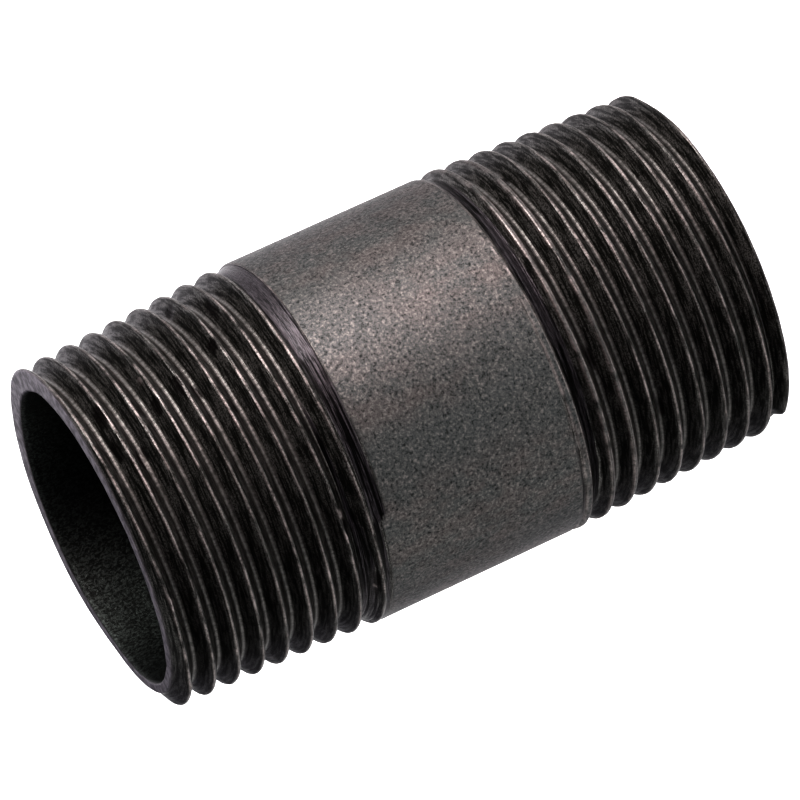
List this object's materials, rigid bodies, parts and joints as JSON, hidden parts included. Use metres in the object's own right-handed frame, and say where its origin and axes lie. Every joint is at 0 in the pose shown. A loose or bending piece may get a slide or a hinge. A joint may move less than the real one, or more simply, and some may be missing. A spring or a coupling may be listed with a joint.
{
  "type": "barrel nipple",
  "caption": "Short black steel pipe nipple with a right-hand taper pipe thread on each end and a plain barrel between them; joins two female threaded fittings in a straight line.",
  "frame": {"origin": "on the axis, in the lower end face, where the nipple stands", "axes": "+Z along the bore, from the lower end to the upper end; +X is where the thread's phase is counted from"},
  "size_m": [0.0337, 0.0336, 0.06],
  "materials": {
    "black_steel": "satin"
  },
  "bodies": {
    "root": {"nipple_body": "black_steel"}
  },
  "joints": []
}
